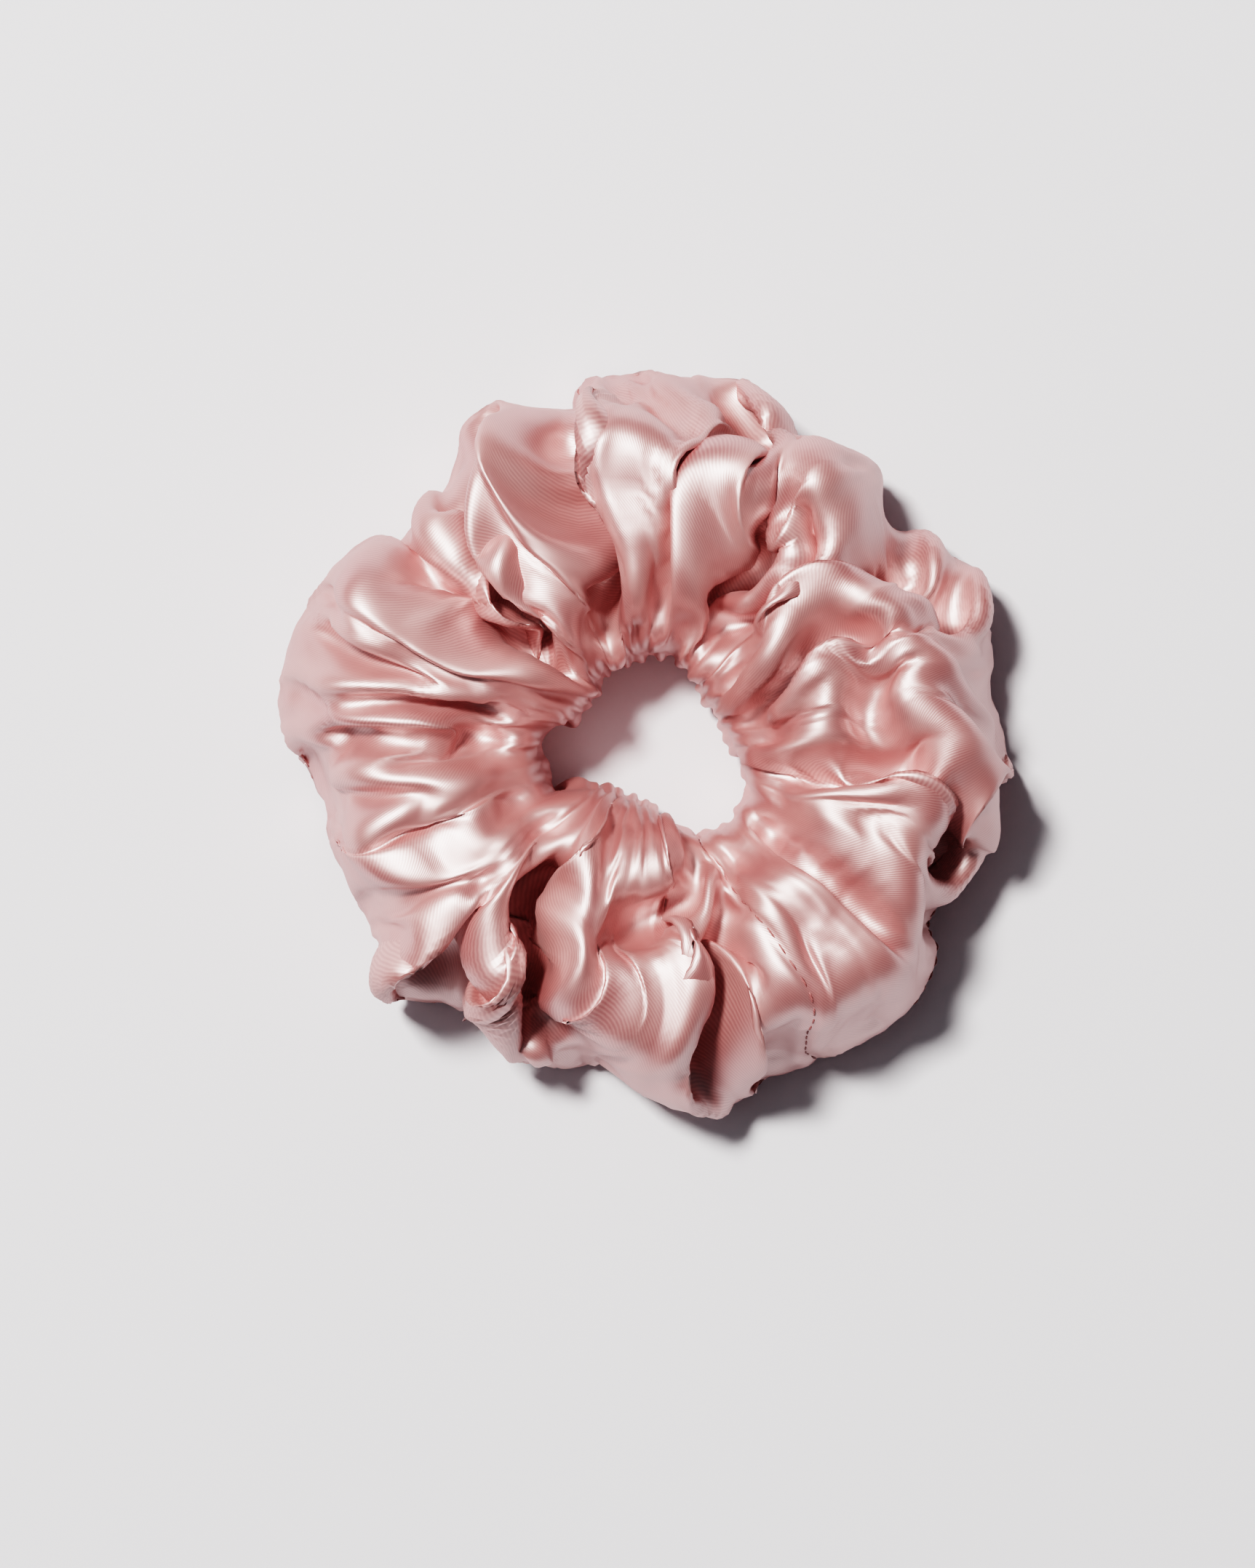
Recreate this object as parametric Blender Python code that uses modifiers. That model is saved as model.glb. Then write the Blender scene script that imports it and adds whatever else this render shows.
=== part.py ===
"""A satin hair scrunchie lying flat: a gathered fabric tube sewn into a ring round an elastic loop.

The tube is one piece of fabric. Its two ends meet in the cross seam, its two long edges meet in the
long seam round the outside of the ring, and a short run of top stitching closes the hole that the
tube was turned through. The elastic is a strip whose ends lap and are joined by zigzag stitches.
The ring is cut by one upright plane, through the cross seam and the middle of the ring, into the
two sides that a hand pulls apart. Metres, +Z up, resting on Z = 0.
"""

from math import cos, pi, radians, sin

import bmesh
import bpy
from mathutils import Vector

# The ring, measured from the middle of its hole.
HOLE_RADIUS = 0.0158
HEIGHT = 0.0340
# How far the outline dips between two puffs that are at least DIP_SPACING degrees apart.
VALLEY_DEPTH = 0.0042
DIP_SPACING = 30.0
# Where the gathers puff out furthest: degrees anticlockwise from +X, and millimetres of reach.
PUFFS = [
    (-165, 53.0),
    (-134, 56.0),
    (-108, 53.5),
    (-77, 57.5),
    (-46, 57.5),
    (-5, 57.0),
    (20, 56.5),
    (52, 56.0),
    (88, 57.5),
    (113, 56.5),
    (150, 54.5),
    (172, 57.5),
]
# The pleats that those gathers shrink to at the hole.
PLEATS = 24
PLEAT_DEPTH = 0.0006

# The cover: one wall stands for the gathered layers, and is flat where it rests.
WALL = 0.0008
FOOT_SHARE = 0.08
SECTION_POINTS = 22
SECTIONS_PER_SIDE = 36
SHARP_EDGE = 50.0
SEAM_ALLOWANCE = 0.0045
SEAM_GAP = 0.0009

# The two seams' places, in degrees, and the axis that the two sides are pulled apart along.
CROSS_SEAM = -60.0
PULL_AXIS = Vector((cos(radians(CROSS_SEAM + 90)), sin(radians(CROSS_SEAM + 90)), 0))
CLOSING_FROM, CLOSING_TO = -44.0, -22.0
THREAD = 0.0003
STITCH_CLEARANCE = 0.0003
SEAM_THREAD_INSET = 0.0012
THREAD_END_GAP = 1.5
THREAD_STEP = 5.0

# The elastic: a strip on edge, near the hole side of the tube.
ELASTIC_RADIUS = 0.0198
ELASTIC_WIDTH = 0.0060
ELASTIC_THICKNESS = 0.0009
ELASTIC_LAP = 30.0
ELASTIC_RAMP = 20.0
ELASTIC_START = 195.0
ELASTIC_STEP = 5.0
# The zigzag: how many, and the shares of the lap's length and the strip's width that it covers.
ZIGZAGS = 7
ZIGZAG_LENGTH = 0.8
ZIGZAG_WIDTH = 0.7

SATIN = ("satin", (0.80, 0.50, 0.49, 1), 0.38, 0.0)
SATIN_THREAD = ("satin_thread", (0.74, 0.43, 0.42, 1), 0.55, 0.0)
ELASTIC = ("braided_elastic", (0.86, 0.82, 0.79, 1), 0.80, 0.0)


def start_empty():
    """Removes the startup objects and returns the collection that holds the scrunchie."""
    for obj in list(bpy.data.objects):
        bpy.data.objects.remove(obj)
    collection = bpy.data.collections.new("scrunchie")
    bpy.context.scene.collection.children.link(collection)
    return collection


def material(name, colour, roughness, metallic):
    """The named Principled material, made the first time that it is asked for."""
    found = bpy.data.materials.get(name)
    if found:
        return found
    made = bpy.data.materials.new(name)
    made.use_nodes = True
    shader = made.node_tree.nodes["Principled BSDF"]
    shader.inputs["Base Color"].default_value = colour
    shader.inputs["Roughness"].default_value = roughness
    shader.inputs["Metallic"].default_value = metallic
    return made


def reach(angle):
    """How far the ring reaches from its middle at this angle in radians: puffs with a dip between."""
    crests = [(radians(degrees), millimetres / 1000) for degrees, millimetres in PUFFS]
    crests.append((crests[0][0] + 2 * pi, crests[0][1]))
    around = crests[0][0] + (angle - crests[0][0]) % (2 * pi)
    for (start, first), (end, second) in zip(crests, crests[1:]):
        if around <= end:
            share = (around - start) / (end - start)
            dip = VALLEY_DEPTH * min(1, (end - start) / radians(DIP_SPACING)) * sin(pi * share) ** 2
            return first + (second - first) * share - dip
    return crests[-1][1]


def hole(angle):
    """The radius of the hole at this angle, rippled by the pleats."""
    return HOLE_RADIUS + PLEAT_DEPTH * cos(PLEATS * angle)


def section_point(angle, turn, inset=0.0):
    """(radius, height) of the tube's wall at this angle round the ring, and this turn round the tube.

    A turn of 0 is the outermost line, pi / 2 the top and pi the hole side.
    """
    inner, outer = hole(angle) + inset, reach(angle) - inset
    half_height = (HEIGHT - 2 * inset) / (2 - FOOT_SHARE)
    height = inset + half_height * (1 - FOOT_SHARE + sin(turn))
    return (inner + outer) / 2 + (outer - inner) / 2 * cos(turn), max(inset, height)


def place(angle, radius, height):
    return Vector((radius * cos(angle), radius * sin(angle), height))


def section_outline(angle):
    """The open line of the wall at this angle, with both seam allowances turned in."""
    seam_height = section_point(angle, 0)[1]
    outer = reach(angle)
    line = [(outer - SEAM_ALLOWANCE, seam_height + SEAM_GAP / 2), (outer, seam_height + SEAM_GAP / 2)]
    for i in range(1, SECTION_POINTS):
        line.append(section_point(angle, 2 * pi * i / SECTION_POINTS))
    line.append((outer, seam_height - SEAM_GAP / 2))
    line.append((outer - SEAM_ALLOWANCE, seam_height - SEAM_GAP / 2))
    return [place(angle, radius, height) for radius, height in line]


def section_angles(first_degrees):
    """The angles of the sections that make half of the ring."""
    return [
        radians(first_degrees + 180 * i / SECTIONS_PER_SIDE) for i in range(SECTIONS_PER_SIDE + 1)
    ]


def middle_of_ring():
    """The middle of the ring's outline, which is placed on the Z axis."""
    angles = section_angles(CROSS_SEAM) + section_angles(CROSS_SEAM + 180)
    xs = [reach(angle) * cos(angle) for angle in angles]
    ys = [reach(angle) * sin(angle) for angle in angles]
    return Vector(((min(xs) + max(xs)) / 2, (min(ys) + max(ys)) / 2, 0))


def add(collection, name, data, finish, offset):
    obj = bpy.data.objects.new(name, data)
    data.materials.append(material(*finish))
    obj.location = offset
    collection.objects.link(obj)
    return obj


def cover_side(collection, name, first_degrees, offset):
    """Half of the cover: a loft of open sections through half a turn, made a wall by Solidify."""
    mesh = bpy.data.meshes.new(name)
    shell = bmesh.new()
    rows = []
    for angle in section_angles(first_degrees):
        rows.append([shell.verts.new(point) for point in section_outline(angle)])
    for near, far in zip(rows, rows[1:]):
        for k in range(len(near) - 1):
            shell.faces.new((near[k], far[k], far[k + 1], near[k + 1]))
    shell.to_mesh(mesh)
    shell.free()
    mesh.shade_smooth()
    mesh.set_sharp_from_angle(angle=radians(SHARP_EDGE))
    side = add(collection, name, mesh, SATIN, offset)
    wall = side.modifiers.new("wall", "SOLIDIFY")
    wall.thickness = WALL
    wall.offset = -1
    return side


def thread(collection, name, points, closed, offset):
    """A sewing thread along these points."""
    curve = bpy.data.curves.new(name, "CURVE")
    curve.dimensions = "3D"
    curve.bevel_depth = THREAD / 2
    curve.bevel_resolution = 1
    curve.use_fill_caps = not closed
    line = curve.splines.new("POLY")
    line.points.add(len(points) - 1)
    for spline_point, point in zip(line.points, points):
        spline_point.co = (*point, 1)
    line.use_cyclic_u = closed
    return add(collection, name, curve, SATIN_THREAD, offset)


def seam_line(first_degrees, last_degrees):
    """Points along the slit of the long seam, between two angles."""
    steps = round((last_degrees - first_degrees) / THREAD_STEP)
    angles = [
        radians(first_degrees + (last_degrees - first_degrees) * i / steps) for i in range(steps + 1)
    ]
    return [
        place(angle, reach(angle) - SEAM_THREAD_INSET, section_point(angle, 0)[1]) for angle in angles
    ]


def cross_seam_line():
    """Points round the tube, down the middle of its wall, in the plane of the cross seam."""
    angle = radians(CROSS_SEAM)
    turns = [2 * pi * i / SECTION_POINTS for i in range(SECTION_POINTS)]
    return [place(angle, *section_point(angle, turn, inset=WALL / 2)) for turn in turns]


def elastic_radius(degrees):
    """The strip's inner radius. Its last stretch ramps out, to lie over its first."""
    lap_rise = ELASTIC_THICKNESS + STITCH_CLEARANCE
    along = (degrees - ELASTIC_START - 360 + ELASTIC_RAMP) / ELASTIC_RAMP
    share = min(1, max(0, along))
    return ELASTIC_RADIUS + lap_rise * share * share * (3 - 2 * share)


def elastic_band(collection, height, offset):
    """The strip on edge: its outline seen from above, raised to its width."""
    curve = bpy.data.curves.new("elastic_band", "CURVE")
    curve.dimensions = "2D"
    curve.fill_mode = "BOTH"
    curve.extrude = ELASTIC_WIDTH / 2
    steps = round((360 + ELASTIC_LAP) / ELASTIC_STEP)
    degrees = [ELASTIC_START + (360 + ELASTIC_LAP) * i / steps for i in range(steps + 1)]
    inner = [place(radians(d), elastic_radius(d), 0) for d in degrees]
    outer = [place(radians(d), elastic_radius(d) + ELASTIC_THICKNESS, 0) for d in degrees]
    outline = inner + outer[::-1]
    line = curve.splines.new("POLY")
    line.points.add(len(outline) - 1)
    for spline_point, point in zip(line.points, outline):
        spline_point.co = (*point, 1)
    line.use_cyclic_u = True
    return add(collection, "elastic_band", curve, ELASTIC, offset + Vector((0, 0, height)))


def elastic_join_thread(collection, height, offset):
    """Zigzag stitches up and down the outer face of the lap."""
    outer_face = ELASTIC_RADIUS + 2 * ELASTIC_THICKNESS + STITCH_CLEARANCE
    radius = outer_face + STITCH_CLEARANCE + THREAD / 2
    middle = ELASTIC_START + ELASTIC_LAP / 2
    points = []
    for i in range(2 * ZIGZAGS + 1):
        degrees = middle + ELASTIC_LAP * ZIGZAG_LENGTH * (i / (2 * ZIGZAGS) - 0.5)
        rise = ELASTIC_WIDTH * ZIGZAG_WIDTH / 2 * (1 if i % 2 else -1)
        points.append(place(radians(degrees), radius, height + rise))
    return thread(collection, "elastic_join_thread", points, False, offset)


def build():
    collection = start_empty()
    offset = -middle_of_ring()
    apart = PULL_AXIS * SEAM_GAP / 2
    seam_height = section_point(0, 0)[1]
    cover_side(collection, "cover_right", CROSS_SEAM, offset + apart)
    cover_side(collection, "cover_left", CROSS_SEAM + 180, offset - apart)
    long_seam = seam_line(CLOSING_TO, CLOSING_FROM + 360 - THREAD_END_GAP)
    closing_seam = seam_line(CLOSING_FROM, CLOSING_TO - THREAD_END_GAP)
    thread(collection, "long_seam_thread", long_seam, False, offset)
    thread(collection, "closing_seam_thread", closing_seam, False, offset)
    thread(collection, "cross_seam_thread", cross_seam_line(), True, offset)
    elastic_band(collection, seam_height, offset)
    elastic_join_thread(collection, seam_height, offset)


build()
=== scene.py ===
"""Looks of the satin scrunchie: a gathered tube of satin round a loop of elastic, with its seams.

The satin starts as a sheet spanned between the folds listed below, and closed underneath into a
tube. It is then relaxed as cloth: its own lengths, bending, air inside, the surface under it, the
elastic within it and contact with itself. The stitches follow the finished cloth. Lengths are in
metres unless a name says millimetres, and the middle of the hole is the origin.
"""

from math import cos, pi, radians, sin

import bpy
import numpy as np
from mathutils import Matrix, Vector

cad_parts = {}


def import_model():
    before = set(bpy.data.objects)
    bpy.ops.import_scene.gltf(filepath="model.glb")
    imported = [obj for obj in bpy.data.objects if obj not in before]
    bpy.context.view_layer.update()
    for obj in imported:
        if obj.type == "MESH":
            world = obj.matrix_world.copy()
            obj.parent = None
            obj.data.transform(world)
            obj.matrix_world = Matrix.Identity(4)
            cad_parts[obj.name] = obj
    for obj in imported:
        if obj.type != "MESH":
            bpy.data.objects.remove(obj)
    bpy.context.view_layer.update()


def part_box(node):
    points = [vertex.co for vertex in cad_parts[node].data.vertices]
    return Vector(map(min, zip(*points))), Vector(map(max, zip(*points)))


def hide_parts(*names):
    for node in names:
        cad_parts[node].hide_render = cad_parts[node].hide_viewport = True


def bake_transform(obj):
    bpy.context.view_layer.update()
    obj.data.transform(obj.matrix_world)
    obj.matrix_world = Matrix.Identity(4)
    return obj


MM = 0.001

# The satin strip, sewn to a tube. COLUMNS run along it, round the ring. ROWS run round the tube:
# row 0 is the long seam at the rim, a quarter of the way is the top and half way is the hole.
PANEL_WIDTH = 0.110
PANEL_LENGTH = 0.420
COLUMNS = 448
ROWS = 104
BANDS = ROWS // 2 + 1
FABRIC_THICKNESS = 0.0003

# The outline of the ring and of its hole, anticlockwise, in (x, y) millimetres.
RIM = [
    (57, -1), (55, 6), (53.5, 9.5), (54.5, 14), (53.5, 19), (51.5, 26), (47.5, 30), (43.5, 33),
    (38, 34.5), (36.5, 36.5), (36.8, 42.8), (29.5, 46), (22.5, 47.3), (19.5, 49.5), (15, 55.3),
    (8, 57.3), (0, 58), (-7.5, 57.8), (-12, 56.8), (-12.5, 53), (-13, 50), (-15, 51.8), (-18.5, 52.6),
    (-21.5, 53), (-27.5, 51.8), (-30, 48.3), (-30.5, 42), (-34.5, 36.5), (-36.5, 33), (-39, 31.8),
    (-44, 31.3), (-48, 28), (-51.5, 23.5), (-54.5, 19), (-56.8, 11), (-57.6, 4.5), (-56.5, 0),
    (-53.5, -3), (-52.5, -8), (-49.8, -11), (-50, -16), (-47.5, -19), (-46, -23), (-43, -29),
    (-41, -33.5), (-41.5, -37), (-38, -40.3), (-32, -41.3), (-26, -43.5), (-22.3, -46.8), (-18.5, -50),
    (-13, -51), (-8, -51), (-4.5, -50.5), (-2, -54), (4, -57), (10, -57.6), (15.5, -57), (18.5, -53),
    (24, -50.5), (32, -48), (38.5, -43.8), (43, -39.5), (45.8, -33), (44.8, -26), (49, -23.5),
    (51, -18.5), (53, -11), (53.2, -6.5), (56, -6.5),
]
HOLE = [
    (13.5, 0), (12.2, 3.6), (10, 6), (8.3, 9.5), (5, 13.8), (0, 14.2), (-4.5, 12.8), (-7.5, 10),
    (-8.5, 7), (-11, 3.6), (-15.5, 2), (-17, -0.5), (-16.3, -3), (-14.8, -7.5), (-10.8, -7), (-6.7, -7),
    (-3.2, -8.6), (1.8, -10.4), (3.6, -12), (6, -14.6), (10.3, -14), (13, -12.3), (15, -10.6),
    (16.3, -8), (15.4, -4.5),
]

# The folds seen from above: crests and valleys in (x, y, height) millimetres. Between them the
# satin is spanned smoothly.
FOLDS = {
    "top puff": [
        [
            (-12, 48, 24), (-9.5, 50, 25), (-5, 50.5, 26), (0, 48.2, 28), (4.5, 45, 29),
            (8, 43, 30), (12, 41, 32), (17, 39.8, 34),
        ],
        [(17, 39.5, 34), (14.5, 35.5, 33.5), (11.5, 30, 32), (8.5, 24.5, 29), (6.3, 19.5, 24)],
        [(-1, 44, 33), (-0.5, 38, 34), (-0.6, 33, 33)],
        [(3.5, 42, 30), (5.3, 36, 28.5), (6, 29, 26.5), (3.2, 22, 21), (1.4, 19.5, 20)],
        [(10, 37, 34), (9.3, 31, 32)],
        [(-1.3, 32, 33), (-1.2, 28, 31.5), (-2, 24, 29), (-1.2, 19.5, 25)],
        [(-0.1, 30, 28), (0.4, 25, 25), (0.5, 21, 22)],
        [(-10.5, 46, 29), (-7.5, 40, 32), (-5, 34, 31), (-3.6, 28.5, 28)],
        [(-7.6, 47.6, 24), (-6, 46.4, 26)],
        [(-12.2, 47, 25), (-9.8, 41, 28), (-7, 35, 28), (-5, 30, 25)],
    ],
    "loop behind the top puff": [
        [(-11.5, 56, 10), (-6, 55, 14), (1.5, 53.7, 18), (5.7, 51, 21), (9.8, 47.2, 24), (12.3, 43.9, 27)],
        [(-8, 53, 9), (-2, 52.2, 13), (3, 49.7, 17), (7, 45.7, 21), (10.6, 42.9, 25)],
        [(5.2, 54.8, 12), (7.2, 53, 11), (10.2, 49.4, 13), (12.3, 46.8, 13)],
        [(0, 56.6, 15), (6, 56.4, 16), (11, 54.6, 15)],
        [(-9, 56.6, 8), (-2, 55.6, 11)],
        [
            (12.4, 54.9, 15), (14.3, 54, 19), (15.8, 52, 21), (17.2, 48.2, 22), (18, 46.3, 21),
            (17.3, 44.8, 18),
        ],
        [(13.8, 52.6, 11), (15.2, 49.8, 11), (16, 46.8, 11), (15.8, 43.5, 12)],
    ],
    "valley right of the top puff": [
        [(18.8, 38.5, 20), (17.2, 35, 17), (14.8, 30, 15), (12, 24.7, 14), (9.3, 19.5, 12), (8, 16.5, 12)],
    ],
    "panel puff": [
        [(22.2, 46.4, 24), (21.8, 44.9, 27), (19, 43.8, 26), (17.8, 42.8, 24)],
        [(21.5, 43.6, 28), (19.4, 42.4, 28), (17.5, 41.4, 25)],
        [(20.6, 40, 28), (19.6, 36, 26)],
        [(22, 43, 26), (22.1, 39.5, 24.5), (23, 34.4, 23), (23.9, 29.2, 21), (24.3, 26, 19)],
        [(22.9, 44.8, 28), (23.5, 40, 30), (24.8, 35, 30), (26.4, 30, 28)],
        [(30, 40.5, 26), (30.5, 34, 26.5), (29.5, 29, 24)],
        [(36, 42, 18), (35.6, 36, 21), (34.6, 31, 21), (33, 28, 20)],
        [
            (17, 33.2, 24), (20, 33, 27), (21.7, 30.3, 28), (20.9, 27, 27), (18.8, 24.6, 25),
            (15, 23, 22), (11.5, 21.3, 18),
        ],
        [(18, 31, 20), (19.3, 29.2, 19), (18.2, 26.6, 18), (15, 25.2, 16), (12.8, 24, 14)],
        [(16, 28.2, 22)],
        [(12.5, 19, 13), (15, 18.5, 14)],
    ],
    "low flap": [
        [(37.5, 33, 9), (36.8, 29.5, 8), (37, 27, 9), (39.5, 24.5, 10)],
        [(40.2, 31.5, 15), (41, 26, 14), (43, 21.5, 13)],
        [(44, 31.5, 11), (48.5, 27.5, 12)],
        [(50.8, 25.6, 17), (48.6, 23, 17), (46.6, 19, 15)],
        [(47.4, 25.6, 10), (45.7, 21, 9)],
        [(52, 19, 13), (53.3, 13.8, 12)],
    ],
    "big roll on the right": [
        [
            (15.5, 14, 21), (17.5, 17.3, 25), (20.5, 20.5, 29), (23.6, 23, 32), (26.5, 24.4, 33),
            (28.8, 23.4, 33),
        ],
        [(12.5, 16, 13), (15, 19.8, 16), (19, 23, 18)],
        [(24.5, 19.8, 33), (20.5, 15.3, 32), (17.5, 10.5, 28), (15.5, 6.5, 23)],
        [(19.2, 17.4, 27), (16, 13.3, 22), (14, 9.6, 18)],
        [(30.5, 22, 32), (34, 19.8, 30), (37, 17.3, 28), (39, 15.4, 27)],
        [(33.5, 22.2, 22), (36.8, 19.5, 21), (40, 16.4, 21)],
        [
            (30, 25.2, 22), (33, 24.2, 24), (37, 22.4, 24), (44, 17.2, 21), (49, 13.2, 18),
            (52, 9.4, 16), (54.2, 5, 14), (56, -0.5, 11),
        ],
        [(43, 14, 22), (48, 10.4, 19), (51.7, 6, 16)],
    ],
    "valley under the big roll": [
        [
            (15.5, 3.5, 15), (17.5, 6, 18), (20.8, 9.5, 21), (24, 12.6, 22), (27.5, 15.4, 23),
            (31, 16.6, 23), (35, 16.2, 24),
        ],
    ],
    "S puff": [
        [
            (19, 4.5, 25), (22.6, 8.2, 29), (26.7, 11.8, 32), (29.3, 13.4, 33), (31.4, 12.4, 33),
            (32, 10.8, 33), (30.9, 8, 32), (30, 5.5, 31), (28.6, 3.5, 30), (25, 1, 29),
            (21.5, -1.8, 26), (19, -4.8, 21),
        ],
        [(26.5, 8, 28.5), (22.5, 3.5, 25), (18.5, -0.3, 20)],
        [
            (33.5, 13, 27), (34, 10.5, 25), (33.4, 7.5, 24), (33.1, 4.5, 24), (34.4, 1.5, 24),
            (37, -1.5, 23), (40, -4.5, 22), (42.6, -6.4, 21),
        ],
        [(35.5, 14.2, 28), (39, 14, 29), (44, 11.9, 27), (48.5, 8.8, 24), (51.6, 5, 21), (54, 0.5, 16)],
        [(38.5, 12, 26.5), (43.5, 9.8, 25), (47.5, 6.6, 22.5), (50.5, 3, 19)],
        [
            (36.8, 10.5, 30), (38, 5.5, 32), (42.5, -0.8, 31), (46.5, -5, 29), (49.5, -9.8, 27),
            (50.6, -15, 25),
        ],
        [(45.6, -8.6, 14), (47.2, -12, 14), (47, -15, 13), (47, -18.2, 14)],
        [(50.6, -16.5, 22), (49.3, -19.8, 21), (47, -21, 21), (44.8, -20.2, 21), (43.3, -17.6, 22)],
    ],
    "corner puff": [
        [(21, -4.8, 19), (25, -4.9, 22), (29, -5.5, 24), (34, -6.5, 26)],
        [
            (19.5, -7.5, 20), (23.6, -7.6, 26), (29, -8, 30), (36, -8.4, 32), (41, -8.3, 33),
            (44.4, -7.5, 33),
        ],
        [
            (44.4, -8.8, 32), (43.2, -12, 30), (41.4, -14.8, 29), (40.8, -18.5, 28),
            (41.4, -22.5, 26), (42.8, -26, 23), (44, -31, 18),
        ],
        [(43.4, -23.2, 15), (44.2, -25.2, 11)],
        [(34, -14, 32), (36.5, -20, 31)],
        [(20.5, -11.3, 22), (27, -15.4, 29), (33, -20, 30), (37.6, -25, 29)],
        [
            (18.3, -13, 17), (22, -16.2, 22), (26.7, -20.2, 24.5), (31, -24, 24.5),
            (35.2, -27.6, 24), (38.8, -30.2, 25),
        ],
    ],
    "seam panel": [
        [
            (19.3, -15.8, 22), (24, -20.6, 28.5), (29, -26, 30), (33.5, -31, 29.5),
            (37.5, -35.5, 27), (40.5, -38, 22),
        ],
        [(43.3, -30, 20), (43.6, -34, 19), (42, -37.5, 18)],
        [(14, -26.5, 29), (18, -31.5, 30.5), (24.5, -34, 30)],
        [(20.5, -24.5, 30)],
        [(13, -17.5, 19), (15.2, -21, 25)],
        [
            (9.6, -36.8, 28), (12.5, -36, 30), (16, -37, 29.5), (20, -38.5, 29), (24, -40.3, 27),
            (28, -40.2, 26), (34, -38, 25), (38, -36.8, 25),
        ],
        [(14.2, -39.6, 23), (18.5, -42.6, 19), (20.5, -46, 14)],
        [(26, -46, 17), (32, -43.5, 18), (37, -40.8, 17)],
        [(22.5, -48.5, 11), (30, -46.8, 12)],
    ],
    "slit beside the seam panel": [
        [
            (10.9, -23.5, 19), (10.5, -28, 19), (9.1, -33.5, 16), (8.4, -38, 11), (8.8, -43, 8),
            (10, -46.6, 9),
        ],
    ],
    "rolled foot": [
        [
            (9.9, -38.6, 25), (11.2, -41.5, 26), (13.8, -45, 25), (16.2, -48.5, 23),
            (17, -52, 19), (15.5, -55, 14),
        ],
        [(10.6, -49.8, 17), (12, -53.5, 15)],
        [(12.7, -48.8, 15), (13, -52, 14)],
        [(18, -45.5, 13), (19, -48.8, 8), (19.2, -51.5, 6)],
    ],
    "broad puff": [
        [
            (9.2, -21.5, 24), (8.8, -27, 28), (7.5, -33, 31), (6.6, -38, 31), (6.4, -43, 29),
            (7.6, -48, 25), (9, -53.5, 17),
        ],
        [(0, -32, 32), (-1, -40, 32), (0, -47, 28), (2, -53, 20)],
        [(-15.8, -28.4, 29), (-12, -27.4, 30), (-8.7, -26.6, 30), (-4, -26.6, 27)],
        [
            (-9, -29.4, 26), (-5, -28.8, 24), (-1, -27.4, 20), (3, -25.9, 18), (6, -23.9, 17),
            (8.4, -20.6, 16),
        ],
        [
            (-15.6, -28.8, 29), (-14.4, -31.5, 31), (-12.6, -34.5, 31), (-12.2, -38, 30),
            (-9.8, -41, 29), (-7.3, -44, 27), (-4.3, -48, 22), (-2, -52.5, 15),
        ],
        [(-7, -33, 30.5), (-8.5, -38, 30)],
    ],
    "roll at the hole": [
        [(-16.5, -13, 23), (-12.5, -14, 26), (-8, -15.5, 28), (-3, -17, 28), (2, -17, 27), (6, -17.3, 24)],
        [(-4, -25.6, 26), (0, -24.6, 26), (4, -23, 25), (7, -20.8, 23), (9.2, -18, 20)],
        [(-8, -11, 24), (-3, -12, 24)],
        [(-6, -21, 28), (0, -21, 27)],
    ],
    "pocket": [
        [
            (-14, -16.6, 26), (-19, -17.3, 27), (-22, -19.8, 30), (-24.6, -24.5, 32),
            (-26, -30, 32), (-25.8, -35, 30), (-23.9, -40.5, 27), (-21.8, -45, 22),
        ],
        [(-12.3, -16.7, 27), (-10.5, -18.6, 29), (-9, -21.5, 30), (-8, -24.3, 30), (-9.5, -26.2, 30)],
        [
            (-13, -18.6, 17), (-14.6, -22, 14), (-16.8, -26, 11), (-18.5, -29.5, 10),
            (-18.2, -33, 10), (-19.5, -37, 10), (-20.6, -41, 11),
        ],
        [(-20.4, -38.5, 14), (-18.2, -35.7, 18), (-15, -35.2, 19)],
        [(-20, -43, 11), (-16.5, -41, 10), (-13.9, -40.5, 10), (-11, -43.2, 11), (-8.5, -45.7, 10)],
        [(-20.5, -44.9, 18), (-17, -44.3, 20), (-13.5, -45, 19), (-9.5, -46.8, 17), (-6, -48.7, 13)],
        [(-20.5, -46.5, 12), (-15.5, -46.7, 12), (-11, -48.2, 11), (-6.5, -49.7, 9)],
        [(-18, -48.7, 12), (-12, -49.9, 11)],
    ],
    "wedge valley": [
        [(-26.9, -26.6, 18), (-28, -29.3, 13), (-30, -32.6, 9), (-33, -36.5, 8), (-35.6, -39.2, 8)],
        [(-28.2, -33.5, 9), (-27.8, -37.5, 9), (-25.6, -42, 9)],
        [(-31.5, -39.5, 11), (-37.8, -39, 9)],
    ],
    "big left puff": [
        [
            (-24.4, -19, 27), (-27.6, -23.8, 31), (-31, -28, 31), (-34.7, -32, 29),
            (-37.2, -36, 26), (-37.2, -38.2, 22),
        ],
        [
            (-44.2, -16.8, 27), (-39.5, -18, 31), (-33.5, -17.3, 33), (-28, -15.2, 33),
            (-24, -12, 29), (-20, -8.7, 23),
        ],
        [(-42, -12.8, 26), (-37.5, -13, 26.5), (-33, -12.7, 28), (-29, -11, 28)],
        [(-40, -22.5, 24), (-35, -22.6, 25), (-30.5, -20.6, 28)],
        [
            (-45.3, -13, 25), (-43.8, -9.8, 27), (-40.5, -8.3, 29), (-36, -8, 30),
            (-30.5, -8.2, 31), (-25, -7, 28),
        ],
        [(-45.2, -8.4, 18), (-41.5, -6.6, 22), (-37, -6, 25), (-32, -6.3, 27)],
        [(-43.5, -24, 17), (-40, -30.5, 18)],
    ],
    "left ridges": [
        [
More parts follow.
